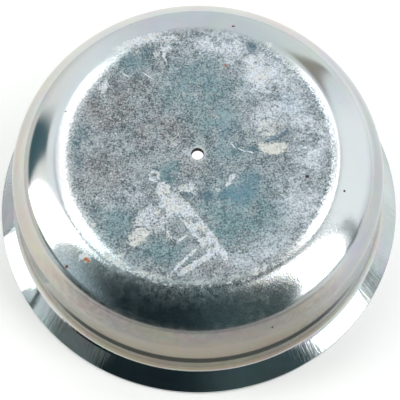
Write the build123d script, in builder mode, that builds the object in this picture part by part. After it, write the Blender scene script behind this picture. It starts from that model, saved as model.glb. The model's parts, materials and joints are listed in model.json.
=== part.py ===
# Hub grease cap: a round cup pressed from one sheet of zinc-plated steel.
# Millimetres, +Z up, origin at the centre of the open mouth, on the plane of the rim's lower edge.
from build123d import *

import os
from math import radians, tan

# Driving dimensions
sheet = 1.0               # thickness of the pressed sheet
socket_diameter = 60.0    # inside of the straight wall, which grips the hub's nose
flare_width = 3.0         # how far the rim stands out past the outside of the wall
height = 21.4             # open mouth to the outside of the flat top
shoulder_radius = 7.6     # outside rounding between the flat top and the wall
neck_radius = 2.2         # outside hollow where the wall turns out into the flare
flare_angle = 51.0        # slope of the flare below the horizontal, in degrees
lip_height = 0.1          # straight stretch inside the rim, above its trimmed edge
edge_radius = 0.3         # outside rounding where the flare turns down into the rim
lip_radius = 0.1          # inside rounding of the same bend
vent_diameter = 2.0       # vent hole through the middle of the top
vent_rounding = 0.15      # rolled-in edge that the punch leaves round the vent

# Sizes that follow from them
socket_radius = socket_diameter / 2
wall_radius = socket_radius + sheet
rim_radius = wall_radius + flare_width
lip_inner_radius = rim_radius - sheet
top_inside = height - sheet
bend_drop = sheet * tan(radians(90 - flare_angle) / 2)
flare_drop = flare_width * tan(radians(flare_angle))
edge_height = lip_height + bend_drop
neck_height = edge_height + flare_drop
neck_inside = lip_height + flare_drop

# The cap: its section turned once round the axis, then the vent
with BuildPart() as grease_cap:
    with BuildSketch(Plane.XZ):
        with BuildLine():
            outside = FilletPolyline(
                (0, height),
                (wall_radius, height),
                (wall_radius, neck_height),
                (rim_radius, edge_height),
                (rim_radius, 0),
                radius=[shoulder_radius, neck_radius, edge_radius],
            )
            inside = FilletPolyline(
                (lip_inner_radius, 0),
                (lip_inner_radius, lip_height),
                (socket_radius, neck_inside),
                (socket_radius, top_inside),
                (0, top_inside),
                radius=[lip_radius, neck_radius + sheet, shoulder_radius - sheet],
            )
            Line(outside @ 1, inside @ 0)
            Line(inside @ 1, outside @ 0)
        make_face()
    revolve(axis=Axis.Z)
    with Locations((0, 0, height)):
        Hole(radius=vent_diameter / 2)
    vent_edge = grease_cap.edges().filter_by(GeomType.CIRCLE).group_by(Axis.Z)[-1].sort_by(SortBy.RADIUS)[0]
    fillet(vent_edge, radius=vent_rounding)

grease_cap.part.label = "grease_cap"
os.makedirs("parts", exist_ok=True)
export_step(grease_cap.part, "parts/grease_cap.step")
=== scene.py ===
import json
from math import atan, cos, pi, radians, sin, tan
from typing import NamedTuple

import bpy
from bpy.props import FloatProperty, FloatVectorProperty, IntProperty, PointerProperty
from mathutils import Matrix, Vector


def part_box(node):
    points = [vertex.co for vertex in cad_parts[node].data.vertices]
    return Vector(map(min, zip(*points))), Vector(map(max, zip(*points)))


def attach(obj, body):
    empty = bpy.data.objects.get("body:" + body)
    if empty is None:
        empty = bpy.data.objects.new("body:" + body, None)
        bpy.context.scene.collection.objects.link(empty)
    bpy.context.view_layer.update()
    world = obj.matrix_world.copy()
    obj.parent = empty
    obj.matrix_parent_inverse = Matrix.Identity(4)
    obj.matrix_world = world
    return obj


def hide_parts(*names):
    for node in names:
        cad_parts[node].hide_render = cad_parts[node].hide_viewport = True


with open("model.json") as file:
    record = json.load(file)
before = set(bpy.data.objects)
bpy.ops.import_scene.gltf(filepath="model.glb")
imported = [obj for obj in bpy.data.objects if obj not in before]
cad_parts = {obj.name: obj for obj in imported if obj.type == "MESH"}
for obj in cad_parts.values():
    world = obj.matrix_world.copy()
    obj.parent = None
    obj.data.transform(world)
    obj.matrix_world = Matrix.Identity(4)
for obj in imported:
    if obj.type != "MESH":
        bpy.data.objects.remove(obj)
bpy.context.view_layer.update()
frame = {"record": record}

bl_info = {
    "name": "Hub grease cap",
    "version": (1, 0, 0),
    "blender": (4, 5, 0),
    "location": "3D View > Sidebar > Grease cap",
    "description": "Presses a zinc-plated hub grease cap and lights it in a plain studio",
    "category": "Add Mesh",
}

# Units and the image
MM = 0.001
IMAGE_SIDE = 400
SENSOR_WIDTH = 36.0
# How far a mark creeps over older ones, in millimetres
CREEP = (0.1, -0.1, 0.0)
# Sizes that the frame gives
RIM_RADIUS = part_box("grease_cap")[1].x
CAP_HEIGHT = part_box("grease_cap")[1].z
MOUNTS = {mount["name"]: mount for mount in frame["record"]["mounts"]}
SOCKET_RADIUS = MOUNTS["hub_socket"]["dims"]["r_mm"] * MM


def srgb(red, green, blue):
    """Turns a colour as seen on a screen, from 0 to 255, into the linear one that a shader takes."""
    return tuple(
        (c / 255 / 12.92 if c / 255 <= 0.04045 else ((c / 255 + 0.055) / 1.055) ** 2.4)
        for c in (red, green, blue)
    )


def length(name, description, default):
    """A property that holds a size in metres."""
    return FloatProperty(
        name=name, description=description, default=default, min=0.0,
        subtype="DISTANCE", unit="LENGTH", precision=5,
    )


def colour(name, description, default):
    """A property that holds a colour."""
    return FloatVectorProperty(
        name=name, description=description, default=default, min=0.0, max=1.0,
        size=3, subtype="COLOR",
    )


def share(name, description, default):
    """A property that holds a share from nothing to all."""
    return FloatProperty(
        name=name, description=description, default=default, min=0.0, max=1.0, subtype="FACTOR",
    )


def number(name, description, default, **limits):
    """A property that holds a plain number."""
    return FloatProperty(name=name, description=description, default=default, **limits)


def turn(name, description, degrees):
    """A property that holds an angle."""
    return FloatProperty(
        name=name, description=description, default=radians(degrees),
        subtype="ANGLE", unit="ROTATION",
    )


class PressedSheetSizes(bpy.types.PropertyGroup):
    """Sizes of the pressed sheet"""

    sheet: length("Sheet", "Thickness of the pressed sheet", 1.0 * MM)
    rim_radius: length("Rim radius", "Outside of the rim", RIM_RADIUS)
    height: length("Height", "Open mouth to the outside of the flat top", CAP_HEIGHT)
    socket_radius: length("Socket radius", "Inside of the straight wall", SOCKET_RADIUS)
    shoulder_radius: length("Shoulder", "Outside rounding between top and wall", 7.6 * MM)
    ease_depth: length("Ease", "How far the edge of the flat is eased down", 0.20 * MM)
    ease_reach: length("Ease reach", "How far the easing runs to each side of the flat's edge", 2.6 * MM)
    neck_radius: length("Neck", "Outside hollow where the wall turns into the flare", 2.2 * MM)
    flare_angle: turn("Flare slope", "Slope of the flare below the horizontal", 51.0)
    lip_height: length("Lip", "Straight stretch inside the rim", 0.1 * MM)
    edge_radius: length("Edge", "Outside rounding of the rim's bend", 0.3 * MM)
    lip_radius: length("Lip rounding", "Inside rounding of the rim's bend", 0.1 * MM)
    vent_radius: length("Vent", "Radius of the vent hole", 1.0 * MM)
    vent_rounding: length("Vent rounding", "Rolled edge round the vent", 0.15 * MM)
    guard: length("Guard", "Distance from a bend to the edge loop that holds it", 0.15 * MM)
    round_steps: IntProperty(name="Steps round", description="Faces round the axis", default=480, min=48)
    bend_steps: IntProperty(name="Steps in a bend", description="Faces over a right angle", default=36, min=6)


class ZincFinish(bpy.types.PropertyGroup):
    """Colours and gloss of the zinc plating"""

    zinc: colour("Zinc", "Clean burnished plating", (0.62, 0.63, 0.63))
    # Painted highlight: brighter zinc on the back right of the shoulder and in a ring at the left of the
    # flat's edge, where the reflections are bright
    painted_sheen: colour("Rubbed zinc", "Plating rubbed bright on the right of the shoulder", (0.785, 0.79, 0.795))
    passivate: colour("Passivate", "Warm film on the wall and the foot of the shoulder", (0.525, 0.49, 0.445))
    # Painted shade: the grey and the brown films darken the front of the wall and the foot of the front
    # shoulder, for the shaded floor that they reflect
    painted_grey_shade: colour("Grey film", "Denser film high on the front of the wall", (0.27, 0.252, 0.235))
    painted_brown_shade: colour("Brown film", "Denser film low on the front of the wall", (0.30, 0.258, 0.19))
    # Painted shade: the dark colour of the line along the front of the wall and of the edge at the foot of
    # the front shoulder
    painted_shade: colour("Oil", "Dark oil at the foot of the front shoulder and along the wall", (0.05, 0.062, 0.06))
    # Painted shade: a grey-lilac tint that darkens the right of the wall and the left front of the flare
    lilac_shade: colour("Lilac film", "Grey-lilac film on the wall and the flare", (0.46, 0.475, 0.50))
    front_film: colour("Front film", "Blue-green film on the front of the shoulder", (0.53, 0.63, 0.655))
    freckle: colour("Freckle", "Dark olive freckles on the front of the shoulder", (0.30, 0.33, 0.29))
    flare_film: colour("Flare film", "Blue-green cast of the flare", (0.59, 0.62, 0.63))
    grain_dark: colour("Dark grain", "Dark crystals of the flat top", srgb(82, 96, 100))
    grain_light: colour("Light grain", "Light crystals of the flat top", srgb(172, 179, 182))
    umber_dark: colour("Dark umber", "Dark crystals where the top is brown-grey", srgb(74, 75, 78))
    umber_light: colour("Light umber", "Light crystals where the top is brown-grey", srgb(164, 163, 163))
    teal_dark: colour("Dark teal", "Dark crystals under the blue-green film", srgb(79, 107, 112))
    teal_light: colour("Light teal", "Light crystals under the blue-green film", srgb(144, 167, 171))
    pale_dark: colour("Dark lilac", "Dark crystals where the top is bleached", srgb(157, 164, 172))
    pale_light: colour("Light lilac", "Light crystals where the top is bleached", srgb(231, 235, 242))
    crystal: colour("Bright crystal", "Single crystals that catch the light", srgb(230, 233, 235))
    pit: colour("Pit", "Dark pits between the crystals", srgb(46, 50, 54))
    teal: colour("Teal", "Blue-green film on the flat top", srgb(88, 130, 148))
    blue: colour("Blue", "Dark blue streaks on the flat top", srgb(66, 95, 112))
    residue: colour("Residue", "Pale paper and glue left by a torn label", srgb(228, 233, 240))
    lilac: colour("Lilac", "Thin grey-lilac paper", srgb(160, 168, 186))
    beige: colour("Beige", "Aged glue", srgb(230, 228, 221))
    scrape: colour("Scrape", "Bare bright scratches", srgb(226, 230, 232))
    rust: colour("Rust", "Orange rust specks", srgb(178, 104, 38))
    red_rust: colour("Red rust", "Older, darker rust specks", srgb(120, 60, 42))
    # The dirt colour also paints shade into the vent's bore
    dirt: colour("Dirt", "Dark specks", srgb(48, 40, 36))
    top_gloss: share("Top roughness", "Of the grainy flat top", 0.45)
    shoulder_gloss: share("Shoulder roughness", "Of the burnished shoulder", 0.10)
    wall_gloss: share("Wall roughness", "Of the straight wall", 0.18)
    flare_gloss: share("Flare roughness", "Of the burnished flare", 0.07)
    haze_gloss: share("Haze roughness", "Of the haze over the burnished shoulder", 0.42)
    stain_gloss: share("Stain roughness", "Of the dry stains", 0.70)


class StudioSettings(bpy.types.PropertyGroup):
    """The floor, the lights and the camera"""

    floor_colour: colour("Floor", "Pale floor", (0.88, 0.865, 0.84))
    floor_glow: share("Floor whiteness", "What the floor shows above its own colour", 0.30)
    wall_light: colour("Pale walls", "Light from the studio's back and sides", (0.80, 0.88, 0.92))
    left_light: colour("Left wall", "Light from the studio's left side", (0.81, 0.84, 0.81))
    right_light: colour("Right wall", "Light from the studio's right side", (0.92, 0.99, 1.0))
    dark_side: colour("Dark side", "The unlit room on the camera's side", (0.013, 0.025, 0.030))
    dark_right: colour("Dark right", "The unlit room to the right of the camera", (0.062, 0.098, 0.104))
    teal_screen: colour("Teal screen", "A blue-green screen that stands at the left", (0.045, 0.110, 0.130))
    ceiling: colour("Ceiling", "The grey ceiling between the strips", (0.54, 0.58, 0.60))
    brown_post: colour("Brown post", "A light post at the right, behind", (0.36, 0.345, 0.30))
    frame_edge: colour("Softbox frame", "The dark frames of the softboxes", (0.16, 0.19, 0.19))
    softbox_light: number("Softbox brightness", "Radiance of the two softboxes", 3.0, min=0.0)
    strip_light: number("Strip brightness", "Radiance of the two ceiling strips", 2.8, min=0.0)
    strip_height: length("Strip height", "From the floor to the ceiling strips", 1.0)
    softbox_distance: length("Softbox distance", "From the cap to the foot of each softbox", 0.8)
    camera_height: turn("Camera elevation", "Height of the camera above the horizon", 66.21)
    camera_roll: turn("Camera roll", "Turn of the camera about its own axis", -1.26)
    camera_distance: length("Camera distance", "Camera to the origin", 365.9 * MM)
    focal_pixels: number("Focal length in pixels", "Of a square image 400 pixels wide", 2117.4)
    aim_right: number("Aim right", "Pixels from the origin to the image's middle", 1.34)
    aim_up: number("Aim up", "Pixels from the origin to the image's middle", 6.61)


class Wire:
    """One output in a node tree. Arithmetic on it adds Math nodes to the tree."""

    def __init__(self, tree, socket=None):
        self.tree, self.socket = tree, socket

    def node(self, kind, settings=None, inputs=None, output=0):
        """Adds a node, makes its settings, feeds its sockets and gives one of its outputs."""
        made = self.tree.nodes.new(kind)
        for name, value in (settings or {}).items():
            setattr(made, name, value)
        for key, value in (inputs or {}).items():
            if isinstance(value, Wire):
                self.tree.links.new(value.socket, made.inputs[key])
            else:
                made.inputs[key].default_value = value
        return Wire(self.tree, made.outputs[output])

    def math(self, operation, *values):
        """Adds a Math node."""
        return self.node("ShaderNodeMath", {"operation": operation}, dict(enumerate(values)))

    def __add__(self, other):
        return self.math("ADD", self, other)

    def __radd__(self, other):
        return self.math("ADD", other, self)

    def __sub__(self, other):
        return self.math("SUBTRACT", self, other)

    def __rsub__(self, other):
        return self.math("SUBTRACT", other, self)

    def __mul__(self, other):
        return self.math("MULTIPLY", self, other)

    def __truediv__(self, other):
        return self.math("DIVIDE", self, other)

    def ramp(self, low, high):
        """Rises smoothly from 0 at low to 1 at high, or falls where low is above high."""
        return self.node(
            "ShaderNodeMapRange", {"interpolation_type": "SMOOTHSTEP"},
            {"Value": self, "From Min": low, "From Max": high},
        )

    def tint(self, under, over):
        """Lays one colour over another where this mask is 1."""
        return self.node(
            "ShaderNodeMix", {"data_type": "RGBA"},
            {0: self, 6: opaque(under), 7: opaque(over)}, output=2,
        )

    def vector(self, operation, *values, output=0):
        """Adds a Vector Math node."""
        return self.node("ShaderNodeVectorMath", {"operation": operation}, dict(enumerate(values)), output)

    def parts(self):
        """Splits a vector into its three numbers."""
        return [self.node("ShaderNodeSeparateXYZ", None, {0: self}, axis) for axis in range(3)]

    def scaled(self, factor):
        """This vector times a number."""
        return self.node("ShaderNodeVectorMath", {"operation": "SCALE"}, {0: self, "Scale": factor})

    def noise(self, scale, detail=2.0, rough=0.5, twist=0.0, output="Fac"):
        """A noise from 0 to 1 over this vector."""
        return self.node(
            "ShaderNodeTexNoise", None,
            {"Vector": self, "Scale": scale, "Detail": detail, "Roughness": rough, "Distortion": twist},
            output,
        )

    def ragged(self, scale, reach):
        """This place pushed about by a noise, which gives a mark a ragged edge."""
        push = self.vector("SUBTRACT", self.noise(scale, 3.0, 0.6, output="Color"), (0.5, 0.5, 0.5))
        return self.vector("ADD", self, push.scaled(reach))

    def stains(self, spots, soft, under=None):
        """The strongest of a group of marks at this place; over older marks they creep a little."""
        place, total = self, 0.0
        if under is not None:
            place = self.vector("ADD", self, self.node(
                "ShaderNodeVectorMath", {"operation": "SCALE"}, {0: CREEP, "Scale": under},
            ))
        for spot in spots.values():
            near = self.node("ShaderNodeMapping", {"vector_type": "TEXTURE"}, {
                "Vector": place, "Location": (spot.x, spot.y, spot.z),
                "Rotation": (0.0, 0.0, radians(spot.turn)), "Scale": (spot.wide, spot.long, spot.deep),
            })
            if spot.square:
                near = self.vector("MULTIPLY", near, near)
            reach = self.vector("LENGTH", near, output="Value")
            if spot.square:
                reach = self.math("SQRT", reach)
            total = self.math("MAXIMUM", total, reach.ramp(1 + soft, 1 - soft) * spot.weight)
        return total


def opaque(value):
    """Gives a plain colour its alpha, and leaves a wire as it is."""
    return value if isinstance(value, Wire) else (*value[:3], 1.0)


def new_material(name):
    """An empty material, with its node tree as a first wire and its surface output's socket."""
    material = bpy.data.materials.new(name)
    material.use_nodes = True
    material.node_tree.nodes.clear()
    output = material.node_tree.nodes.new("ShaderNodeOutputMaterial")
    return material, Wire(material.node_tree), output.inputs["Surface"]


class Spot(NamedTuple):
    """A mark on the plating: its middle and half sizes in millimetres, strength, and turn in degrees."""

    x: float
    y: float
    wide: float
    long: float
    weight: float = 1.0
    turn: float = 0.0
    z: float = CAP_HEIGHT / MM
    deep: float = 0.6
    square: bool = False


# The straight edges left where a label was torn off
LABEL = {
    "corner": Spot(-7.1, -3.85, 0.95, 1.15, 1.1),
    "slanting_band": Spot(-0.35, -13.0, 6.2, 1.42, turn=-55, square=True),
    "band_end": Spot(3.9, -18.0, 0.6, 1.2, turn=15),
    "hole_left_edge": Spot(-5.0, -13.6, 0.22, 1.1, 0.8, 5),
    "hole_strip": Spot(-2.8, -14.95, 1.05, 0.26, 0.9, 35),
    "inner_strip": Spot(-2.4, -18.7, 3.1, 0.27, turn=44),
    "outer_strip": Spot(-0.3, -19.2, 3.7, 0.52, 0.95, 31, square=True),
    "outer_strip_head": Spot(2.0, -17.5, 0.9, 0.6, turn=30),
    "right_fleck": Spot(5.4, -4.5, 0.45, 1.0, 0.85, -30),
    "right_fleck_foot": Spot(4.85, -5.5, 0.5, 0.35, turn=30),
}
# Paper and glue left of the label
RESIDUE = {
    "upper_body": Spot(-5.8, -6.2, 1.2, 1.3, 1.15),
    "middle_body": Spot(-4.9, -7.6, 1.6, 1.0, 1.1),
    "lower_body": Spot(-4.6, -9.5, 1.9, 1.7),
    "body_foot": Spot(-5.4, -11.6, 1.4, 0.8, 0.8, 30),
    "wing_head": Spot(-7.4, -10.2, 1.5, 1.4, 0.7),
    "wing_middle": Spot(-8.6, -11.4, 2.2, 1.7, 0.7, 20),
    "wing_foot": Spot(-8.8, -13.4, 2.2, 1.0, 0.75, 25),
    "wing_inside": Spot(-6.3, -13.0, 1.2, 0.9, 0.55),
    "hole_foot": Spot(-4.4, -14.7, 0.9, 0.4, 0.6, -20),
    "crumb_high": Spot(-1.9, -6.0, 1.7, 0.85, 0.85),
    "crumb_low": Spot(-0.8, -7.1, 0.4, 0.6, 0.75),
    "right_crumb": Spot(3.3, -6.35, 0.55, 0.5, 0.7),
}
# Bleached stains, thinner than the residue
BLEACH = {
    "back_right_head": Spot(9.1, 16.6, 0.95, 1.4, 1.1),
    "back_right_middle": Spot(10.3, 14.1, 1.9, 1.8, 1.4),
    "back_right_foot": Spot(10.5, 12.5, 0.8, 0.9, 1.2),
    "back_right_arm": Spot(12.5, 14.9, 1.7, 1.0, 1.1, 15),
    "back_right_tail": Spot(14.0, 15.6, 0.9, 0.5, 0.6, 10),
    "back_right_side": Spot(11.6, 17.2, 1.3, 0.9, 0.4),
    "back_haze": Spot(2.6, 20.3, 3.6, 2.0, 0.38),
    "back_haze_right": Spot(6.4, 19.4, 1.5, 1.9, 0.5),
    "back_haze_foot": Spot(5.6, 16.9, 1.5, 1.0, 0.4),
    "back_drop": Spot(6.9, 10.8, 0.9, 1.2, 0.45),
    "back_edge_left": Spot(-9.2, 21.2, 4.6, 0.9, 0.9, 17),
    "back_edge_middle": Spot(-4.6, 21.4, 2.6, 1.0, 0.85),
    "back_streak": Spot(-5.05, 18.1, 0.38, 1.2, 1.3),
    "back_streak_side": Spot(-6.2, 18.6, 0.5, 0.55, 0.75),
    "back_streak_head": Spot(-5.0, 19.6, 1.2, 0.7),
    "left_streak": Spot(-15.1, 12.8, 0.65, 1.6, turn=-8),
    "left_streak_side": Spot(-16.4, 12.0, 0.5, 0.8, 0.35),
    "left_smear": Spot(-13.2, -3.7, 1.8, 0.8, 0.45, -40),
    "middle_smear": Spot(-4.2, 1.9, 0.9, 0.9, 0.45),
    "vent_smear": Spot(-1.7, 0.3, 1.3, 0.7, 0.4),
    "rust_halo": Spot(-18.6, -17.7, 1.1, 0.75, 1.1, 20, z=21.05),
    "right_edge_smear": Spot(17.6, -10.2, 1.8, 1.0, 0.4, 50),
    "front_edge_smear": Spot(9.5, -20.4, 2.6, 0.8, 0.35, 20),
    "front_edge_dab": Spot(3.8, -22.4, 1.6, 0.5, 0.3),
}
# Places inside the residue where the plating shows through
BARE = {
    "band_hole": Spot(-3.75, -13.1, 1.15, 1.5),
    "blob_hole": Spot(-5.65, -10.2, 0.42, 0.62),
    "corner_hole": Spot(-7.15, -3.5, 0.5, 0.5, 0.75),
    "corner_hole_low": Spot(-6.85, -4.35, 0.35, 0.35, 0.6),
    "body_mark": Spot(-4.3, -7.1, 0.9, 0.55, 0.45, 30),
    "body_mark_left": Spot(-5.5, -7.0, 0.5, 0.5, 0.4),
    "band_head": Spot(-2.9, -11.1, 0.35, 0.9, 0.75, 30),
    "band_arc": Spot(-2.2, -11.8, 0.8, 0.2, 0.7, -35),
    "band_mark_high": Spot(-0.9, -11.6, 0.9, 0.5, 0.7, -20),
    "band_mark_middle": Spot(0.4, -14.2, 1.0, 0.6, 0.6, -50),
    "band_mark_low": Spot(1.3, -16.6, 1.3, 0.5, 0.65, 15),
    "band_mark_foot": Spot(3.0, -18.6, 0.6, 0.6, 0.7),
    "strip_gap": Spot(-0.9, -18.2, 1.6, 0.25, 0.7, 35),
}
# Old yellowish glue
GLUE = {
    "left_foot": Spot(-9.9, -14.6, 1.9, 1.3, 0.8, 40),
    "body_middle": Spot(-4.2, -9.4, 1.3, 0.9, 0.45),
    "right_oval": Spot(12.4, 0.75, 2.15, 1.0, 0.95, 3, square=True),
    "right_haze": Spot(12.0, 4.6, 2.3, 1.3, 0.42),
    "right_haze_foot": Spot(12.2, 3.5, 1.8, 0.5, 0.6, 12),
    "left_edge_dot": Spot(-16.9, -12.2, 0.5, 0.4, 0.6),
    "left_front_dot": Spot(-12.8, -17.5, 0.6, 0.5, 0.6),
    "left_front_edge": Spot(-13.6, -18.6, 2.4, 0.45, 0.5, -42),
    "front_dot": Spot(-5.0, -21.7, 0.6, 0.45, 0.4),
    "front_edge": Spot(-8.0, -21.2, 2.4, 0.5, 0.45, -20),
    "front_right_dot": Spot(8.9, -20.4, 0.5, 0.5, 0.7),
    "back_edge_dot": Spot(12.6, 20.0, 0.7, 0.5, 0.5),
    "back_left_dot": Spot(-9.8, 19.1, 0.3, 0.3, 0.7),
}
# Broad tints of the flat top
TEAL_ZONES = {
    "front_right": Spot(6.5, -10.5, 7.5, 6.0, 0.95),
    "beside_band": Spot(2.6, -13.0, 4.2, 1.5, turn=-58),
    "front_left": Spot(-6.0, -17.6, 4.5, 2.6, 0.9),
    "left_front": Spot(-13.8, -12.0, 3.2, 3.0, 0.85),
    "above_label": Spot(-4.6, -3.4, 1.8, 1.5),
    "middle_back": Spot(0.5, 12.5, 6.5, 5.0, 0.85),
    "behind_vent": Spot(3.2, 5.8, 3.2, 3.2, 0.9),
    "right_of_vent": Spot(5.5, 0.2, 4.0, 2.4, 0.8),
    "back_left": Spot(-10.0, 17.4, 3.2, 2.0, 0.8, 20),
    "left_edge": Spot(-19.6, 2.5, 1.2, 3.5, 0.6),
}
UMBER_ZONES = {
    "left_back": Spot(-14.0, 8.5, 6.0, 4.2, 0.9),
    "left_middle": Spot(-16.0, -3.0, 4.5, 5.0, 0.7),
    "behind_left_of_vent": Spot(-6.0, 4.2, 4.5, 3.0, 0.85),
    "back_left_scratch": Spot(-8.5, 13.2, 3.0, 2.0, 0.7, -30),
    "beside_vent": Spot(-1.5, -1.8, 3.0, 1.6, 0.6),
    "front_left_low": Spot(-6.5, -19.2, 3.0, 1.2, 0.6),
    "front_foot": Spot(2.5, -20.6, 3.5, 1.2, 0.8),
}
PALE_ZONES = {
    "back": Spot(4.0, 19.6, 5.0, 2.8, 0.9),
    "back_right": Spot(12.0, 14.5, 5.5, 4.5, 0.8),
    "right_back": Spot(15.5, 8.6, 3.2, 3.6),
    "right": Spot(18.6, 1.5, 3.4, 6.0, 0.85),
    "right_front": Spot(16.5, -9.0, 4.0, 5.0, 0.7, 35),
    "front_right": Spot(9.5, -17.0, 6.0, 3.0, 0.65, 30),
    "above_oval": Spot(11.5, 6.5, 3.0, 3.0, 0.7),
    "left_of_label": Spot(-11.5, -7.0, 3.0, 2.2, 0.55),
}
# Blue-green films and dark streaks
FILM = {
    "right_of_label": Spot(6.6, -7.2, 2.8, 1.6),
    "right_patch": Spot(8.8, -4.6, 1.8, 1.5, 0.7),
    "bleached_blue": Spot(15.4, 9.0, 1.8, 2.0, 0.3),
    "behind_vent": Spot(4.4, 4.0, 1.0, 1.4, 0.5),
}
DARK_FILM = {
    "oval_shadow": Spot(12.8, 2.6, 2.1, 0.26, turn=18),
    "oval_shadow_end": Spot(14.4, 3.3, 0.8, 0.5),
    "upright_streak": Spot(6.8, 4.0, 0.45, 1.7, 0.8, 15),
    "oval_left": Spot(9.0, 0.8, 0.9, 0.55),
    "label_side": Spot(1.2, -7.6, 1.1, 0.8),
    "label_crease": Spot(-2.0, -7.5, 0.75, 0.6, 0.8, -40),
    "corner_side": Spot(-4.6, -3.6, 1.2, 1.0, 0.4),
    "blue_dots": Spot(3.4, -3.2, 0.9, 0.8, 0.5),
    "back_right_hollow": Spot(9.4, 19.5, 0.95, 1.3, 0.9),
    "back_right_dot": Spot(13.8, 17.1, 0.8, 0.5, 0.9),
    "back_dot": Spot(5.2, 20.9, 0.8, 0.55, 0.7),
    "back_left_patch": Spot(-11.0, 17.6, 1.3, 1.2, 0.55),
    "back_left_blue": Spot(-8.0, 19.3, 1.2, 0.6, 0.6),
    "left_edge_dot": Spot(-17.2, 11.0, 0.8, 0.6, 0.6),
    "left_edge_blue": Spot(-19.4, -1.2, 0.6, 1.2, 0.5),
}
# Bare scratches
SCRATCHES = {
    "back_left": Spot(-8.0, 14.55, 1.05, 0.08, turn=-39),
    "back_left_short": Spot(-11.6, 14.7, 0.6, 0.08, turn=-30),
    "curve_start": Spot(5.9, 1.3, 0.7, 0.08, turn=-52),
    "curve_middle": Spot(7.3, 0.5, 0.8, 0.08, turn=-28),
    "curve_end": Spot(8.7, 0.1, 0.6, 0.08, turn=-15),
}
# Specks of rust and dirt, on the top and over the shoulder
RUST = {
    "left_shoulder": Spot(-18.3, -18.0, 0.36, 0.32, z=21.07),
    "left_shoulder_side": Spot(-17.85, -18.3, 0.30, 0.22, turn=-35, z=21.07),
    "back": Spot(5.0, 16.2, 0.18, 0.3),
}
RED_RUST = {
    "left_shoulder_low": Spot(-21.46, -18.59, 0.28, 0.28, z=19.53),
    "back_edge": Spot(6.5, 23.7, 0.32, 0.22),
    "left_edge": Spot(-21.6, 8.3, 0.15, 0.15),
}
DIRT = {
    "right_edge": Spot(17.75, -4.5, 0.33, 0.33),
    "right_shoulder": Spot(23.7, -7.1, 0.2, 0.2),
    "front_wall": Spot(11.4, -28.5, 0.15, 0.15, z=15.93, deep=0.3),
    "right_wall": Spot(28.62, -11.92, 0.15, 0.15, z=11.94, deep=0.2),
}


# Depths in millimetres under the top's outside face, between which its finish fades out
TOP_FADE = (0.7, 0.4)
# Levels in millimetres: each pair runs from where a mask is empty to where it is full
# The painted sheen, a painted highlight of brighter zinc: on the back right of the shoulder, and in the ring
# at the left of the flat's edge
SHEEN_ABOVE = (16.8, 19.0)
SHEEN_RING_ABOVE = (19.6, 20.8)
WARM_BELOW = (19.0, 15.5)
# Painted shade over the front of the wall, grey high and brown low
FRONT_SHADE_BELOW = (18.2, 17.6)
LOW_SHADE_BELOW = (16.0, 11.5)
# A painted dark edge at the top of that painted shade, on the front of the shoulder
SHADE_EDGE_ABOVE = (17.3, 17.7)
SHADE_EDGE_BELOW = (18.7, 18.2)
FLARE_BELOW = (4.1, 3.5)
# Painted shade in grey-lilac on the right of the wall
LILAC_SHADE_BELOW = (20.0, 18.2)
LILAC_SHADE_ABOVE = (4.1, 5.0)
RAINBOW_GONE_ABOVE = (17.5, 18.5)
FRONT_FILM_ABOVE = (18.0, 19.0)
# How much lower the warm film starts at the back and the left
WARM_LOWER_ASIDE = 1.6
# The level of the painted shade line, a dark line round the front of the wall that paints the reflected
# shadow under the rim, and the distances from it over which it thickens
SHADE_LINE_LEVEL, SHADE_LINE_FADE = 7.9, (1.4, 0.7)
# Heights in millimetres that shade the surface
FRONT_GRAIN, PLAIN_GRAIN, WALL_GRAIN = 0.0105, 0.0012, 0.0004
TOP_GRAIN, TOP_FLECKS = 0.010, 0.02
DRAW_LINES = 0.026
# The flare's lean starts this far from the wall: its slope all along the left, what is added behind
# the front there, what is added again in the middle, and its slope at the right
LEAN_START = 0.7
LEFT_LEAN, LEFT_LEAN_BEHIND, LEFT_LEAN_MIDDLE, RIGHT_LEAN = 0.14, 0.16, 0.12, 0.22


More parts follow.
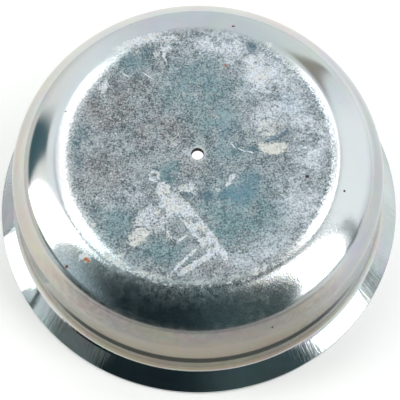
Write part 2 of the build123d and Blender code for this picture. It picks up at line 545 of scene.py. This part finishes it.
class ZincPlating:
    """The layers of the plating, worked out in one node tree from the place on the cap."""

    def __init__(self, tree, finish, sizes):
        self.tree, self.finish = tree, finish
        self.flat_radius = (sizes.socket_radius + sizes.sheet - sizes.shoulder_radius) / MM
        self.wall_radius = (sizes.socket_radius + sizes.sheet) / MM
        self.height = sizes.height / MM
        self.place = tree.node("ShaderNodeTexCoord", output="Object").scaled(1 / MM)
        self.x, self.y, self.z = self.place.parts()
        self.radius = tree.math("SQRT", self.x * self.x + self.y * self.y)
        self.front, self.across = (0 - self.y) / self.radius, self.x / self.radius
        self.set_noises()
        self.set_zones(sizes)

    def most(self, first, *others):
        """The strongest of some masks."""
        for other in others:
            first = self.tree.math("MAXIMUM", first, other)
        return first

    def overlay(self, amount, under, over):
        """Shifts the hue of a colour by a coloured noise."""
        return self.tree.node(
            "ShaderNodeMix", {"data_type": "RGBA", "blend_type": "OVERLAY"},
            {0: amount, 6: under, 7: over}, output=2,
        )

    def set_noises(self):
        """The noises of the finish, and places pushed about for ragged edges."""
        place = self.place
        self.fine = place.noise(3.4, 2.0, 0.6)
        self.sparks = place.noise(4.4, 1.0, 0.5)
        self.flecks = place.noise(1.0, 5.0, 0.65, 0.3)
        self.fibres = place.noise(1.5, 1.0, 0.5, 2.5)
        self.film = place.noise(0.30, 4.0, 0.6, 0.8)
        self.haze = place.noise(0.7, 5.0, 0.6, 0.4)
        self.hue = place.noise(1.4, 3.0, 0.6, output="Color")
        self.torn = place.ragged(1.6, 0.6).ragged(4.5, 0.35)
        self.ragged = place.ragged(0.9, 1.7).ragged(3.2, 0.7)
        self.drift = place.ragged(0.25, 5.0).ragged(1.4, 2.2)

    def set_zones(self, sizes):
        """Masks of the zones that several layers share."""
        z, radius, fine, flat = self.z, self.radius, self.fine, self.flat_radius
        vent = sizes.vent_radius / MM
        shoulder_foot = (sizes.height - sizes.shoulder_radius) / MM
        outside = z.ramp(*(self.height - depth for depth in TOP_FADE))
        left, right = (0 - self.across).ramp(0.25, 0.80), self.across.ramp(0.25, 0.80)
        near = self.front.ramp(0.55, 0.85)
        # The grain ends further in at the left and right, where the bright ring shows
        inward = radius + left * 1.2 + right * 0.85
        edge = inward + (fine - 0.5) * (left * 1.6 + 0.7)
        grain_ends = flat + 0.6 + near * 0.8
        grain_full = flat - 1.1 - left + right * 0.3 - near * 0.6
        self.top = edge.ramp(grain_ends, grain_full) * outside
        self.matt = (inward + (fine - 0.5) * 0.9).ramp(flat + 0.1, flat - 1.3) * outside
        # Painted shade: the vent's bore, darkened in the dirt colour
        self.bore_shade = radius.ramp(vent + 0.12, vent + 0.02)
        self.burr = radius.ramp(vent + 0.75, vent + 0.3)
        self.flare = z.ramp(*FLARE_BELOW)
        self.shoulder = z.ramp(shoulder_foot - 0.5, shoulder_foot + 1.0)
        self.left_side, self.right_side, self.near = left, right, near
        # A painted shade line: a dark line round the front of the wall, where it reflects the shadow under
        # the rim
        self.shade_line = self.tree.math("ABSOLUTE", z - SHADE_LINE_LEVEL).ramp(*SHADE_LINE_FADE)
        self.shade_line = self.shade_line * self.front.ramp(0.50, 0.80)

    def wall_films(self):
        """Clean plating with warm films on the wall, painted shade over their front with a darker painted
        edge at its top, and grey-lilac painted shade on the right of the wall and the left of the flare.
        """
        finish, z, front, across = self.finish, self.z, self.front, self.across
        # Painted highlight: the zinc is made brighter on the back right of the shoulder and in the ring at
        # the left of the flat's edge
        painted_sheen = across.ramp(0.45, 0.90) * front.ramp(-0.55, -0.15) * z.ramp(*SHEEN_ABOVE)
        painted_sheen = self.most(painted_sheen, self.left_side * z.ramp(*SHEEN_RING_ABOVE))
        base = painted_sheen.tint(finish.zinc, finish.painted_sheen)
        aside = self.most((0 - front).ramp(0.2, 0.8), self.left_side)
        base = (z - aside * WARM_LOWER_ASIDE).ramp(*WARM_BELOW).tint(base, finish.passivate)
        # Painted shade: the front of the wall and of the shoulder's foot is darkened, grey above and brown
        # below
        front_shade = (front + (self.haze - 0.5) * 0.3).ramp(0.45, 0.95) * z.ramp(*FRONT_SHADE_BELOW)
        brown = (z + (self.film - 0.5) * 9.0).ramp(*LOW_SHADE_BELOW)
        base = front_shade.tint(base, brown.tint(finish.painted_grey_shade, finish.painted_brown_shade))
        # Painted shade: a dark edge at the foot of the front shoulder
        shade_edge = (z + (self.fine - 0.5) * 0.3).ramp(*SHADE_EDGE_ABOVE) * z.ramp(*SHADE_EDGE_BELOW)
        base = (shade_edge * front.ramp(0.60, 0.85) * 0.35).tint(base, finish.painted_shade)
        base = (self.flare * (self.film.ramp(0.35, 0.65) * 0.2 + 0.8)).tint(base, finish.flare_film)
        # Painted shade: grey-lilac on the right of the wall and the left front of the flare
        wall_right = across.ramp(0.55, 0.90) * z.ramp(*LILAC_SHADE_BELOW) * z.ramp(*LILAC_SHADE_ABOVE)
        flare_left = (0 - across).ramp(0.75, 0.95) * front.ramp(0.30, 0.12) * self.flare
        return self.most(wall_right, flare_left).tint(base, finish.lilac_shade)

    def shoulder_films(self, base):
        """A faint rainbow over the plating, and a film with dark freckles on the front of the shoulder."""
        finish, z, front = self.finish, self.z, self.front
        stretched = self.tree.node("ShaderNodeCombineXYZ", None, {0: self.x, 1: self.y, 2: z * 2.5})
        rainbow = stretched.noise(0.16, 3.0, 0.6, 0.6, "Color")
        base = self.overlay(0.22 - self.near * z.ramp(*RAINBOW_GONE_ABOVE) * 0.22, base, rainbow)
        high = z.ramp(*FRONT_FILM_ABOVE)
        base = self.overlay(self.near * high * 0.35, base, self.hue)
        film = front.ramp(0.45, 0.75) * self.across.ramp(0.40, 0.05) * high
        base = film.tint(base, finish.front_film)
        freckles = front.ramp(0.35, 0.70) * high * self.fine.ramp(0.56, 0.42) * 0.4
        return freckles.tint(base, finish.freckle)

    def top_grain(self):
        """The grain of the flat top: broad tints, crystals, fibres and pits, then films."""
        finish, fine, flecks = self.finish, self.fine, self.flecks
        tone = (self.film * 0.22 + flecks * 0.25 + fine * 0.53).ramp(0.385, 0.615)
        pale = self.drift.stains(PALE_ZONES, 0.6)
        umber = self.drift.stains(UMBER_ZONES, 0.6, pale)
        teal = self.drift.stains(TEAL_ZONES, 0.6, umber)
        dark = umber.tint(pale.tint(finish.grain_dark, finish.pale_dark), finish.umber_dark)
        light = umber.tint(pale.tint(finish.grain_light, finish.pale_light), finish.umber_light)
        grain = tone.tint(teal.tint(dark, finish.teal_dark), teal.tint(light, finish.teal_light))
        calm = 1 - teal * 0.6
        spark = self.sparks.ramp(0.60, 0.72) * calm * (flecks.ramp(0.38, 0.58) * 0.7 + 0.15)
        fibre = self.tree.math("ABSOLUTE", self.fibres - 0.5).ramp(0.03, 0.005)
        fibre = fibre * self.haze.ramp(0.46, 0.60) * calm * 0.5
        grain = self.most(spark, fibre).tint(grain, finish.crystal)
        pits = fine.ramp(0.38, 0.28) * (1 - self.most(teal, pale) * 0.65)
        grain = (pits * 0.6).tint(grain, finish.pit)
        thin_film = self.ragged.stains(FILM, 0.5, teal)
        self.dark_film = self.ragged.stains(DARK_FILM, 0.4, thin_film)
        grain = (thin_film * 0.55).tint(grain, finish.teal)
        grain = (self.dark_film * 0.6).tint(grain, finish.blue)
        return self.overlay(0.09, grain, self.hue)

    def dry_marks(self, base):
        """The label's remains, bleached stains and glue, with the plating showing through, and scratches."""
        finish, fine, flecks, ragged = self.finish, self.fine, self.flecks, self.ragged
        grit = (fine * 0.5 + flecks * 0.5 - 0.5) * 2.9
        bare = ragged.stains(BARE, 0.3, self.dark_film)
        label = self.torn.stains(LABEL, 0.2, bare)
        residue = self.most(label, ragged.stains(RESIDUE, 0.35, label)) * (1 - bare)
        residue = (residue + grit).ramp(0.10, 1.15) * residue.ramp(0.0, 0.3)
        bleach = ragged.stains(BLEACH, 0.6, residue)
        bleach = (bleach + grit).ramp(0.10, 1.25) * bleach.ramp(0.0, 0.3)
        self.residue = self.most(residue, bleach, self.burr * self.top * 0.5)
        crumbs = self.tree.math("ABSOLUTE", self.radius - (self.flat_radius - 0.4)).ramp(0.9, 0.3)
        crumbs = crumbs * self.front.ramp(0.65, 0.90) * flecks.ramp(0.52, 0.60)
        glue = ragged.stains(GLUE, 0.3, bleach)
        self.glue = self.most((glue + grit).ramp(0.0, 1.1) * glue.ramp(0.0, 0.3), crumbs * 0.4)
        paper = self.haze.ramp(0.44, 0.62).tint(finish.residue, finish.beige)
        paper = (fine.ramp(0.52, 0.38) * 0.6).tint(paper, finish.lilac)
        base = (self.residue * 0.9).tint(base, paper)
        base = (self.glue * 0.9).tint(base, finish.beige)
        return self.place.stains(SCRATCHES, 0.4).tint(base, finish.scrape)

    def specks(self, base):
        """Specks of rust and dirt, and painted shade in the bore of the vent, in the colour of the dirt."""
        finish, speck_place = self.finish, self.place.ragged(3.0, 0.35)
        rust, red_rust, dirt = (speck_place.stains(group, 0.35) for group in (RUST, RED_RUST, DIRT))
        base = rust.tint(base, finish.rust)
        base = red_rust.tint(base, finish.red_rust)
        self.dry = self.most(self.residue, self.glue, rust, red_rust, dirt, self.bore_shade)
        # The dirt specks, and painted shade in the vent's bore
        return self.most(dirt, self.bore_shade).tint(base, finish.dirt)

    def metal(self):
        """How far the surface is metal: less under dry marks and under the thin haze below the top."""
        lean = self.radius.ramp(self.flat_radius + 5.2, self.flat_radius - 0.4)
        dust = self.flecks.ramp(0.42, 0.62) * 0.15 + self.fine.ramp(0.50, 0.62) * 0.16
        return 1 - self.most(self.dry * 0.85, lean * lean * self.shoulder * self.near * dust)

    def roughness(self):
        """Roughness from zone to zone; dry marks are dull."""
        finish = self.finish
        rough = finish.wall_gloss + self.shoulder * (finish.shoulder_gloss - finish.wall_gloss)
        rough = rough + self.flare * (finish.flare_gloss - finish.wall_gloss)
        rough = rough + self.shoulder * self.near * (self.haze.ramp(0.45, 0.70) * 0.05 + 0.05)
        rough = rough + self.matt * (finish.top_gloss + (self.flecks - 0.5) * 0.3 - rough)
        return rough + self.dry * (finish.stain_gloss - rough)

    def normal(self):
        """The grain in relief, and the lean and draw lines of the flare."""
        front, z, radius, wall = self.front, self.z, self.radius, self.wall_radius
        around = self.tree.node(
            "ShaderNodeCombineXYZ", None,
            {0: self.x * wall / radius, 1: self.y * wall / radius, 2: z * 0.12},
        )
        fade = z.ramp(15.0, self.height)
        relief = fade * fade * (front.ramp(0.15, 0.65) * FRONT_GRAIN + PLAIN_GRAIN)
        rise = self.fine * (relief + self.top * TOP_GRAIN + WALL_GRAIN) + self.top * self.flecks * TOP_FLECKS
        behind = front.ramp(0.56, 0.44) * (front.ramp(0.02, 0.16) * LEFT_LEAN_MIDDLE + LEFT_LEAN_BEHIND)
        left_lean = (0 - self.across).ramp(0.34, 0.60) * (behind + LEFT_LEAN)
        beyond = self.tree.math("MAXIMUM", radius - wall - LEAN_START, 0.0)
        rise = rise + self.flare * around.noise(2.0, 3.0, 0.65) * DRAW_LINES
        rise = rise + beyond * (left_lean + self.right_side * RIGHT_LEAN)
        return self.tree.node("ShaderNodeBump", None, {"Strength": 1.0, "Distance": MM, "Height": rise})

    def shader(self):
        """All layers together: burnished metal, a share of haze over it, and a dark painted shade line along
        the wall.
        """
        finish, tree = self.finish, self.tree
        base = self.top.tint(self.shoulder_films(self.wall_films()), self.top_grain())
        base = self.specks(self.dry_marks(base))
        normal = self.normal()
        burnished, hazy, shade_line_shader = (tree.node("ShaderNodeBsdfPrincipled", None, inputs) for inputs in (
            {"Base Color": base, "Metallic": self.metal(), "Roughness": self.roughness(), "Normal": normal},
            {"Base Color": base, "Metallic": 1.0, "Roughness": finish.haze_gloss, "Normal": normal},
            {"Base Color": opaque(finish.painted_shade), "Roughness": finish.stain_gloss, "Specular IOR Level": 0.0},
        ))
        haze = self.shoulder * (1 - self.top) * (self.near * self.haze.ramp(0.40, 0.60) * 0.09 + 0.015)
        plated = tree.node("ShaderNodeMixShader", None, {0: haze, 1: burnished, 2: hazy})
        # The dark shader on the front of the wall is painted shade, the reflected shadow under the rim
        return tree.node("ShaderNodeMixShader", None, {0: self.shade_line * 0.85, 1: plated, 2: shade_line_shader})


def zinc_plating(finish, sizes):
    """The plating: grainy stained top, burnished shoulder, warm satin wall, bright flare."""
    material, tree, surface = new_material("zinc_plating")
    tree.tree.links.new(ZincPlating(tree, finish, sizes).shader().socket, surface)
    return material


def begin_section(radius, level):
    """Starts a section: one vertex in the half-plane of +X, in edit mode, and its object."""
    bpy.ops.object.select_all(action="DESELECT")
    bpy.ops.mesh.primitive_plane_add(size=MM, location=(radius, 0, level))
    piece = bpy.context.object
    bpy.ops.object.transform_apply(location=True, rotation=True, scale=True)
    bpy.ops.object.mode_set(mode="EDIT")
    bpy.ops.mesh.select_mode(type="VERT")
    bpy.ops.mesh.select_all(action="SELECT")
    bpy.ops.mesh.merge(type="CENTER")
    return piece


class SectionPen:
    """Draws a section by extruding and spinning the vertex at its end."""

    def __init__(self, radius, level, guard):
        self.piece = begin_section(radius, level)
        self.at = Vector((radius, level))
        self.guard = guard

    def step(self, end):
        """Extrudes the end vertex to a place."""
        move = Vector(end) - self.at
        bpy.ops.mesh.extrude_vertices_move(TRANSFORM_OT_translate={"value": (move.x, 0.0, move.y)})
        self.at = Vector(end)

    def line(self, radius, level):
        """A straight run with an edge loop near each end, which keeps the bends' shading off it."""
        start, end = self.at.copy(), Vector((radius, level))
        along = (end - start).normalized() * self.guard
        if (end - start).length > 4 * self.guard:
            self.step(start + along)
            self.step(end - along)
        self.step(end)

    def bend(self, centre, angle, steps):
        """An arc about a centre; a positive angle turns from +X towards +Z."""
        bpy.ops.mesh.spin(
            steps=steps, angle=angle, center=(centre[0], 0.0, centre[1]), axis=(0.0, 1.0, 0.0),
        )
        arm = self.at - Vector(centre)
        self.at = Vector(centre) + Vector((
            arm.x * cos(angle) - arm.y * sin(angle), arm.x * sin(angle) + arm.y * cos(angle),
        ))


def eased_shoulder(pen, centre, sizes):
    """The eased edge of the flat and the bend of the shoulder, as one run of steps."""
    reach, steps = sizes.ease_reach, sizes.bend_steps
    path = [(centre[0] - reach + reach * i * 4 / steps, sizes.height) for i in range(1, steps // 4 + 1)]
    for i in range(1, steps + 1):
        lean = pi / 2 * i / steps
        path.append((
            centre[0] + sizes.shoulder_radius * sin(lean), centre[1] + sizes.shoulder_radius * cos(lean),
        ))
    for radius, level in path:
        along = min(1.0, (radius - centre[0] + reach) / (2 * reach))
        pen.step((radius, level - sizes.ease_depth * along * along * (3 - 2 * along)))


def turn_section(piece, sizes):
    """Turns a drawn section once round the axis into a closed, smooth sheet."""
    merge = sizes.sheet / 1000
    bpy.ops.mesh.select_all(action="SELECT")
    bpy.ops.mesh.remove_doubles(threshold=merge)
    bpy.ops.object.mode_set(mode="OBJECT")
    bpy.ops.object.modifier_add(type="SCREW")
    turned = piece.modifiers[-1]
    turned.axis, turned.angle, turned.screw_offset = "Z", 2 * pi, 0.0
    turned.steps = turned.render_steps = sizes.round_steps
    turned.use_merge_vertices, turned.merge_threshold = True, merge
    bpy.ops.object.modifier_apply(modifier=turned.name)
    bpy.ops.object.mode_set(mode="EDIT")
    bpy.ops.mesh.select_all(action="SELECT")
    bpy.ops.mesh.remove_doubles(threshold=merge)
    bpy.ops.mesh.normals_make_consistent(inside=False)
    bpy.ops.object.mode_set(mode="OBJECT")
    bpy.ops.object.shade_smooth_by_angle(angle=radians(30))


def press_sheet(sizes):
    """Draws the cap's section, turns it once round the axis and gives the closed sheet."""
    right_angle = pi / 2
    rise = right_angle - sizes.flare_angle
    wall = sizes.socket_radius + sizes.sheet
    lip = sizes.rim_radius - sizes.sheet
    top_inside = sizes.height - sizes.sheet
    edge_level = sizes.lip_height + sizes.sheet * tan(rise / 2)
    flare_drop = (sizes.rim_radius - wall) * tan(sizes.flare_angle)
    neck_level = edge_level + flare_drop
    neck_inside = sizes.lip_height + flare_drop
    hollow = sizes.neck_radius + sizes.sheet
    crown = sizes.shoulder_radius - sizes.sheet
    quarter = sizes.bend_steps
    part = max(4, round(quarter * rise / right_angle))

    vent_edge = sizes.vent_radius + sizes.vent_rounding
    pen = SectionPen(vent_edge, sizes.height, sizes.guard)
    shoulder = (wall - sizes.shoulder_radius, sizes.height - sizes.shoulder_radius)
    pen.line(shoulder[0] - sizes.ease_reach, sizes.height)
    eased_shoulder(pen, shoulder, sizes)
    neck = (wall + sizes.neck_radius, neck_level + sizes.neck_radius * tan(rise / 2))
    pen.line(wall, neck[1])
    pen.bend(neck, rise, part)
    edge = (sizes.rim_radius - sizes.edge_radius, edge_level - sizes.edge_radius * tan(rise / 2))
    pen.line(edge[0] + sizes.edge_radius * cos(rise), edge[1] + sizes.edge_radius * sin(rise))
    pen.bend(edge, -rise, part)
    pen.line(sizes.rim_radius, 0.0)

    pen.line(lip, 0.0)
    lip_bend = (lip - sizes.lip_radius, sizes.lip_height - sizes.lip_radius * tan(rise / 2))
    pen.line(lip, lip_bend[1])
    pen.bend(lip_bend, rise, part)
    inner_neck = (sizes.socket_radius + hollow, neck_inside + hollow * tan(rise / 2))
    pen.line(inner_neck[0] - hollow * cos(rise), inner_neck[1] - hollow * sin(rise))
    pen.bend(inner_neck, -rise, part)
    pen.line(sizes.socket_radius, top_inside - crown)
    pen.bend((sizes.socket_radius - crown, top_inside - crown), right_angle, quarter // 2)
    pen.line(sizes.vent_radius, top_inside)
    pen.line(sizes.vent_radius, sizes.height - sizes.vent_rounding)
    pen.bend((vent_edge, sizes.height - sizes.vent_rounding), -right_angle, part // 2)

    turn_section(pen.piece, sizes)
    return pen.piece


class GREASECAP_OT_press(bpy.types.Operator):
    """Press the cap's sheet and plate it with zinc"""

    bl_idname = "grease_cap.press"
    bl_label = "Press the cap"

    def execute(self, context):
        sizes, finish = context.scene.grease_cap_sizes, context.scene.grease_cap_finish
        piece = press_sheet(sizes)
        piece.name = piece.data.name = "grease_cap_shell"
        piece.data.materials.append(zinc_plating(finish, sizes))
        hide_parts("grease_cap")
        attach(piece, "root")
        return {"FINISHED"}


# Softboxes: azimuth in degrees from the camera's side towards +X; lean and sizes are shares of the distance
SOFTBOXES = {
    "right_softbox": dict(azimuth=59.54, lean=(-0.0117, 0.2306), half_width=0.220, foot=0.151, head=5.0),
    "left_softbox": dict(azimuth=-87.6, lean=(0.024, 0.2492), half_width=0.230, foot=0.260, head=4.0),
}
# Ceiling strips: their edges are slopes seen from the cap
STRIPS = {
    "left_strip": dict(left=-0.185, right=-0.06, near=0.26, far=0.62),
    "right_strip": dict(left=0.08, right=0.205, near=0.29, far=0.62),
}
FLOOR_SIDE = 16.0
# The floor glows white inside the second radius, painted light under the cap that shows through the vent, and
# is plain outside the first
PAINTED_LIGHT_UNDER_VENT = (16 * MM, 15 * MM)


def hang_softbox(name, studio, azimuth, lean, half_width, foot, head):
    """A long softbox that leans over the cap."""
    base = Vector((sin(radians(azimuth)), -cos(radians(azimuth)), 0.0)) * studio.softbox_distance
    along = Vector((*lean, 1.0)).normalized()
    facing = (along * base.dot(along) - base).normalized()
    side = along.cross(-facing)
    turned = Matrix((side, along, -facing)).transposed()
    width = 2 * half_width * studio.softbox_distance
    tall = (head - foot) * studio.softbox_distance
    middle = base + along * ((head + foot) / 2 * studio.softbox_distance)
    bpy.ops.object.light_add(type="AREA", location=middle, rotation=turned.to_euler())
    box = bpy.context.object
    box.name = box.data.name = name
    box.data.shape = "RECTANGLE"
    box.data.size, box.data.size_y = width, tall
    box.data.energy = studio.softbox_light * pi * width * tall


def hang_strip(name, studio, left, right, near, far):
    """A strip light above the cap."""
    above = studio.strip_height
    middle = Vector(((left + right) / 2, (near + far) / 2, 1.0)) * above
    bpy.ops.object.light_add(type="AREA", location=middle)
    strip = bpy.context.object
    strip.name = strip.data.name = name
    strip.data.shape = "RECTANGLE"
    strip.data.size, strip.data.size_y = (right - left) * above, (far - near) * above
    strip.data.energy = studio.strip_light * pi * strip.data.size * strip.data.size_y


def pale_floor(studio):
    """A wide matt floor, shown a little whiter than it is, with painted light that glows white under the
    vent.
    """
    bpy.ops.object.select_all(action="DESELECT")
    bpy.ops.mesh.primitive_plane_add(size=FLOOR_SIDE, location=(0, 0, 0))
    floor = bpy.context.object
    floor.name = floor.data.name = "studio_floor"
    material, tree, surface = new_material("pale_floor")
    x, y, _ = tree.node("ShaderNodeTexCoord", output="Object").parts()
    # Painted light: a glowing white pool on the floor under the vent, inside the cap's shadow
    vent_light_pool = tree.math("SQRT", x * x + y * y).ramp(*PAINTED_LIGHT_UNDER_VENT)
    camera, glossy, transmission = (
        tree.node("ShaderNodeLightPath", output=f"Is {kind} Ray")
        for kind in ("Camera", "Glossy", "Transmission")
    )
    shown = tree.math("MINIMUM", camera + glossy + transmission, 1.0)
    glow = (shown * (vent_light_pool + studio.floor_glow)).tint((0.0, 0.0, 0.0), (1.0, 1.0, 1.0))
    shader = tree.node(
        "ShaderNodeBsdfPrincipled", None,
        {"Base Color": opaque(studio.floor_colour), "Roughness": 1.0, "Specular IOR Level": 0.0,
         "Emission Color": glow, "Emission Strength": 1.0},
    )
    tree.tree.links.new(shader.socket, surface)
    floor.data.materials.append(material)


def studio_surround(studio):
    """The room round the object: pale walls, an unlit front, a screen at the left and a post at the right."""
    world = bpy.data.worlds.new("studio_surround")
    bpy.context.scene.world = world
    world.use_nodes = True
    world.node_tree.nodes.clear()
    output = world.node_tree.nodes.new("ShaderNodeOutputWorld")
    tree = Wire(world.node_tree)
    x, y, z = tree.node("ShaderNodeTexCoord", output="Generated").parts()
    # The ceiling between the strips, and the unlit room, wider near the floor
    ceiling = (z * 0.53 - y).ramp(-0.03, 0.05) * (z * 0.27 - tree.math("ABSOLUTE", x)).ramp(-0.03, 0.05)
    swing = tree.math("ARCTAN2", x, z * 0.45 - y)
    low = tree.math("MAXIMUM", 0.3 - z, 0.0) * swing.ramp(radians(-82), radians(-58)) * radians(110)
    dark = (swing + low).ramp(radians(-67), radians(-32)) * swing.ramp(radians(46), radians(38))
    unlit = swing.ramp(radians(-10), radians(14)).tint(studio.dark_side, studio.dark_right)
    # The screen, the post, and the frame and feet of the softboxes
    screen = (y - z * 0.45 + x * 0.18).ramp(-0.03, 0.03) * (z * 0.26 - x * 0.77 - y).ramp(-0.10, 0.06)
    screen = screen * z.ramp(0.18, 0.28) * (z * -0.50 - x).ramp(0.0, 0.10)
    across = tree.math("ABSOLUTE", x * 1.286 + z * 0.40 - y)
    post = (z * 0.16 - across).ramp(-0.04, 0.06) * (x - z * 0.21).ramp(0.0, 0.1) * z.ramp(0.20, 0.32)
    edge = tree.math("ABSOLUTE", y + x * 0.15 - z * 0.20)
    right_frame = (x * 0.06 - edge).ramp(-0.02, 0.03) * (x - z * 0.6).ramp(0.0, 0.4) * 0.7
    right_foot = z.ramp(0.06, 0.08) * z.ramp(0.13, 0.11) * (x - 0.6).ramp(0.0, 0.1) * y.ramp(0.06, -0.04)
    left_foot = z.ramp(0.13, 0.16) * z.ramp(0.25, 0.22) * (x + 0.6).ramp(0.0, -0.1) * y.ramp(0.10, -0.10)
    frames = tree.math("MAXIMUM", right_frame, tree.math("MAXIMUM", right_foot, left_foot))
    # Colours, from the walls inwards
    light = x.ramp(0.05, 0.45).tint(studio.wall_light, studio.right_light)
    light = (x.ramp(-0.20, -0.55) * y.ramp(-0.25, 0.0)).tint(light, studio.left_light)
    light = ceiling.tint(light, studio.ceiling)
    light = dark.tint(light, unlit)
    light = screen.tint(light, studio.teal_screen)
    light = post.tint(light, studio.brown_post)
    light = frames.tint(light, studio.frame_edge)
    shader = tree.node("ShaderNodeBackground", None, {"Color": light, "Strength": 1.0})
    world.node_tree.links.new(shader.socket, output.inputs["Surface"])


def place_camera(studio):
    """The camera at the photograph's height, roll and distance."""
    bpy.ops.object.camera_add()
    camera = bpy.context.object
    camera.name = camera.data.name = "studio_camera"
    camera.data.sensor_width = SENSOR_WIDTH
    camera.data.lens = studio.focal_pixels * SENSOR_WIDTH / IMAGE_SIDE
    camera.data.clip_start, camera.data.clip_end = 0.01, 40.0
    elevation = studio.camera_height
    camera.location = Vector((0, -cos(elevation), sin(elevation))) * studio.camera_distance
    look = Matrix.Rotation(pi / 2 - elevation, 4, "X") @ Matrix.Rotation(studio.camera_roll, 4, "Z")
    look = look @ Matrix.Rotation(atan(studio.aim_up / studio.focal_pixels), 4, "X")
    look = look @ Matrix.Rotation(-atan(studio.aim_right / studio.focal_pixels), 4, "Y")
    camera.rotation_euler = look.to_euler()
    bpy.context.scene.camera = camera


class GREASECAP_OT_stage(bpy.types.Operator):
    """Lay the floor and set the lights, the room and the camera"""

    bl_idname = "grease_cap.stage"
    bl_label = "Set the studio"

    def execute(self, context):
        studio = context.scene.grease_cap_studio
        context.scene.view_settings.view_transform = "Standard"
        pale_floor(studio)
        studio_surround(studio)
        for name, form in SOFTBOXES.items():
            hang_softbox(name, studio, **form)
        for name, form in STRIPS.items():
            hang_strip(name, studio, **form)
        place_camera(studio)
        return {"FINISHED"}


class GREASECAP_PT_panel(bpy.types.Panel):
    """Lists the cap's operators and settings"""

    bl_label = "Grease cap"
    bl_idname = "GREASECAP_PT_panel"
    bl_space_type = "VIEW_3D"
    bl_region_type = "UI"
    bl_category = "Grease cap"

    def draw(self, context):
        layout = self.layout
        for operator, group in (
            (GREASECAP_OT_press, context.scene.grease_cap_sizes),
            (None, context.scene.grease_cap_finish),
            (GREASECAP_OT_stage, context.scene.grease_cap_studio),
        ):
            if operator:
                layout.operator(operator.bl_idname)
            for name in group.__annotations__:
                layout.prop(group, name)


CLASSES = (
    PressedSheetSizes, ZincFinish, StudioSettings,
    GREASECAP_OT_press, GREASECAP_OT_stage, GREASECAP_PT_panel,
)


def register():
    for cls in CLASSES:
        bpy.utils.register_class(cls)
    bpy.types.Scene.grease_cap_sizes = PointerProperty(type=PressedSheetSizes)
    bpy.types.Scene.grease_cap_finish = PointerProperty(type=ZincFinish)
    bpy.types.Scene.grease_cap_studio = PointerProperty(type=StudioSettings)


def unregister():
    del bpy.types.Scene.grease_cap_studio
    del bpy.types.Scene.grease_cap_finish
    del bpy.types.Scene.grease_cap_sizes
    for cls in reversed(CLASSES):
        bpy.utils.unregister_class(cls)


def main():
    register()
    bpy.ops.grease_cap.press()
    bpy.ops.grease_cap.stage()


if __name__ == "__main__":
    main()
